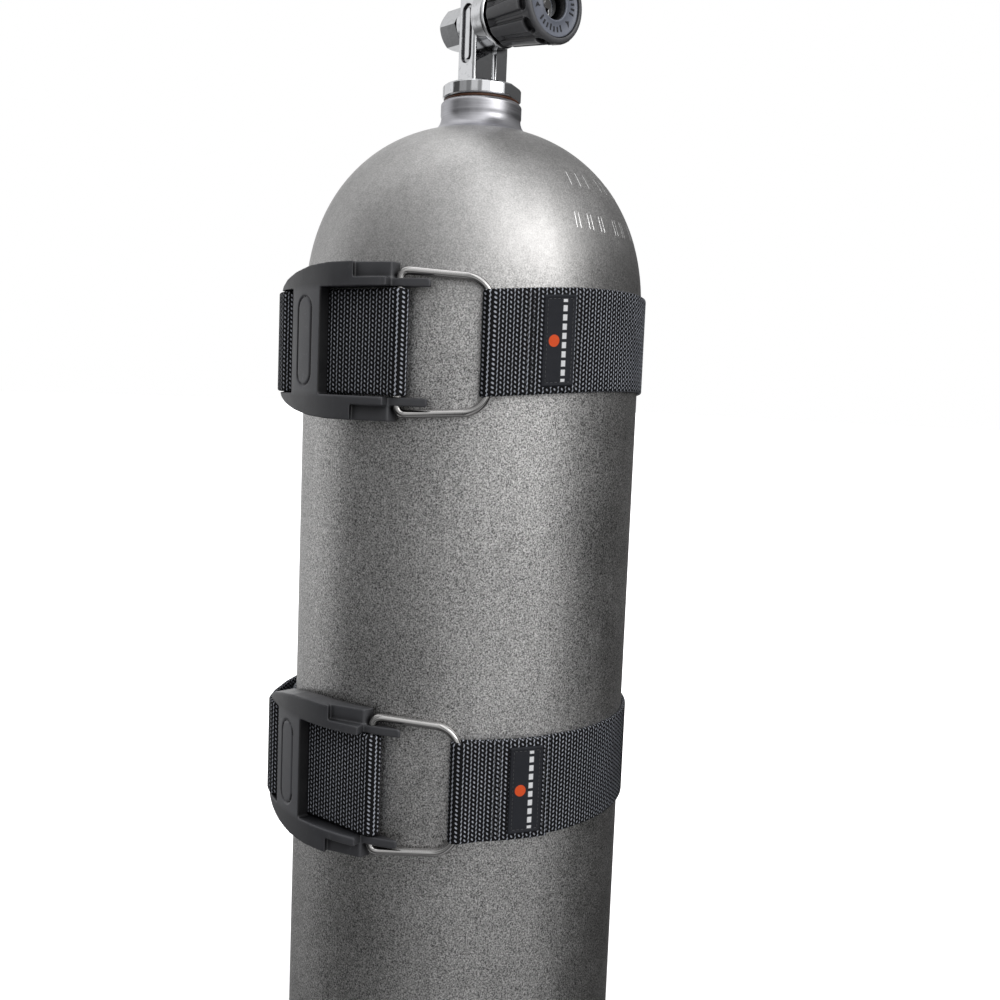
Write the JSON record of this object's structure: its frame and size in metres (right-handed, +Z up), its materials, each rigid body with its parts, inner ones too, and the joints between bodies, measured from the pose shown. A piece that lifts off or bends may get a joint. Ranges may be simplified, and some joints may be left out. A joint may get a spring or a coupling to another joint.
{
  "type": "scuba tank",
  "caption": "Aluminium diving cylinder with a flat base, rounded shoulder, handwheel yoke valve and webbing cam bands with lever buckles.",
  "frame": {"origin": "centre of the flat base, on the surface the cylinder stands on", "axes": "+Z up along the cylinder's axis; handwheel along +X; valve outlet facing +Y, yoke dimple facing -Y"},
  "size_m": [0.1952, 0.201, 0.7427],
  "materials": {
    "aluminium_shell": "bead-blasted satin, clear coated",
    "chrome": "polished",
    "brass": "machined",
    "seal": "matte",
    "ptfe": "smooth",
    "knob_plastic": "matte",
    "knob_rubber": "satin",
    "knob_ring": "matte",
    "steel": "polished",
    "webbing": "coarse woven nylon",
    "label": "woven patch",
    "hook_and_loop": "hook and loop",
    "buckle_plastic": "fine satin"
  },
  "bodies": {
    "root": {"cylinder": "aluminium_shell", "neck_o_ring": "seal", "valve_body": "chrome", "dip_tube": "brass", "bonnet_nut": "chrome", "bonnet_o_ring": "seal", "thrust_washer": "ptfe", "side_plug": "chrome", "side_plug_o_ring": "seal", "yoke_insert": "chrome", "insert_o_ring": "seal", "outlet_o_ring": "seal", "upper_band": "webbing", "upper_label": "label", "upper_loop_patch": "hook_and_loop", "lower_band": "webbing", "lower_label": "label", "lower_loop_patch": "hook_and_loop"},
    "handwheel": {"upper_stem": "steel", "stem_o_ring": "seal", "knob_core": "knob_plastic", "knob_grip": "knob_rubber", "knob_face_ring": "knob_ring", "knob_spring": "steel", "knob_nut": "chrome"},
    "seat_plug": {"seat_plug": "brass", "seat_disc": "ptfe"},
    "upper_bail": {"upper_bail": "steel"},
    "upper_buckle": {"upper_buckle": "buckle_plastic", "upper_cam_bar": "steel", "upper_strap_tail": "webbing", "upper_hook_patch": "hook_and_loop"},
    "lower_bail": {"lower_bail": "steel"},
    "lower_buckle": {"lower_buckle": "buckle_plastic", "lower_cam_bar": "steel", "lower_strap_tail": "webbing", "lower_hook_patch": "hook_and_loop"}
  },
  "joints": [
    {"name": "handwheel_turn", "type": "hinge", "parent": "root", "child": "handwheel", "pos_m": [0.04, 0, 0.706], "axis": [1, 0, 0], "range_deg": [0, 702]},
    {"name": "seat_plug_travel", "type": "slide", "parent": "handwheel", "child": "seat_plug", "axis": [1, 0, 0], "range_m": [0, 0.00245]},
    {"name": "upper_bail_swing", "type": "hinge", "parent": "root", "child": "upper_bail", "pos_m": [0.07711, -0.0581, 0.529], "axis": [0, 0, 1], "range_deg": [0, 33.5]},
    {"name": "upper_buckle_open", "type": "hinge", "parent": "upper_bail", "child": "upper_buckle", "pos_m": [0.04449, -0.08732, 0.529], "axis": [0, 0, 1], "range_deg": [0, 110]},
    {"name": "lower_bail_swing", "type": "hinge", "parent": "root", "child": "lower_bail", "pos_m": [0.07231, -0.06398, 0.3115], "axis": [0, 0, 1], "range_deg": [0, 33.5]},
    {"name": "lower_buckle_open", "type": "hinge", "parent": "lower_bail", "child": "lower_buckle", "pos_m": [0.0375, -0.09054, 0.3115], "axis": [0, 0, 1], "range_deg": [0, 110]}
  ],
  "couplings": [
    {"joint": "seat_plug_travel", "follows": "handwheel_turn", "m_per_rad": 0.00019894},
    {"joint": "upper_bail_swing", "follows": "upper_buckle_open", "ratio": 0.3},
    {"joint": "lower_bail_swing", "follows": "lower_buckle_open", "ratio": 0.3}
  ]
}
